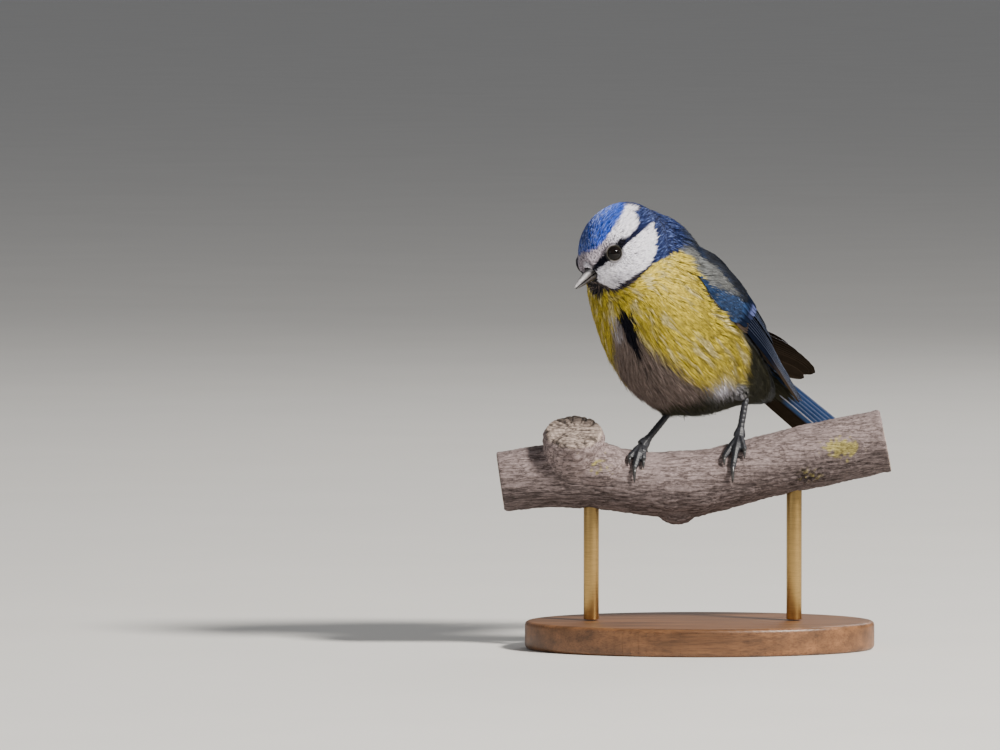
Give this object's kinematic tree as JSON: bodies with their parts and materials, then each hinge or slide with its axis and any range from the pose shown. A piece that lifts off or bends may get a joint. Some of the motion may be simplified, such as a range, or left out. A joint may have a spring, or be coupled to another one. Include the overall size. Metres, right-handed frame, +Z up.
{
  "type": "blue tit model on a display stand",
  "caption": "Life-size blue tit gripping a cut length of branch, looking down with its body turned, on a flat oval base with two short rods.",
  "frame": {"origin": "centre of the display stand's flat underside", "axes": "+Z up from the stand; the branch runs along X, and the bird's bill points towards -X with its left side and breast towards -Y"},
  "size_m": [0.1131, 0.0863, 0.1287],
  "materials": {
    "plumage_head": "matt plumage, blue cap with white face",
    "plumage_collar": "matt plumage, dark blue",
    "plumage_body": "matt plumage, yellow with a grey-white belly and a grey-green back",
    "plumage_wing": "flight feathers, dark with blue edges and a white bar",
    "plumage_tail": "tail feathers, blue with dark shafts",
    "horn": "dark horn with a soft sheen",
    "eye": "wet gloss, black-brown",
    "leg": "scaled skin, blue-grey",
    "claw": "dark horn",
    "bark": "rough grey-brown bark with lichen",
    "stand_wood": "oiled dark wood",
    "stand_metal": "brushed brass"
  },
  "bodies": {
    "root": {"head": "plumage_head", "neck": "plumage_collar", "torso": "plumage_body", "bill_upper": "horn", "bill_lower": "horn", "eye_left": "eye", "eye_right": "eye", "wing_left": "plumage_wing", "wing_right": "plumage_wing", "tail": "plumage_tail", "thigh_left": "plumage_body", "thigh_right": "plumage_body", "shank_left": "leg", "shank_right": "leg", "toe_left_inner": "leg", "toe_left_middle": "leg", "toe_left_outer": "leg", "toe_left_hind": "leg", "toe_right_inner": "leg", "toe_right_middle": "leg", "toe_right_outer": "leg", "toe_right_hind": "leg", "claw_left_inner": "claw", "claw_left_middle": "claw", "claw_left_outer": "claw", "claw_left_hind": "claw", "claw_right_inner": "claw", "claw_right_middle": "claw", "claw_right_outer": "claw", "claw_right_hind": "claw", "perch_branch": "bark", "stand_rod_1": "stand_metal", "stand_rod_2": "stand_metal", "stand_base": "stand_wood"}
  },
  "joints": []
}
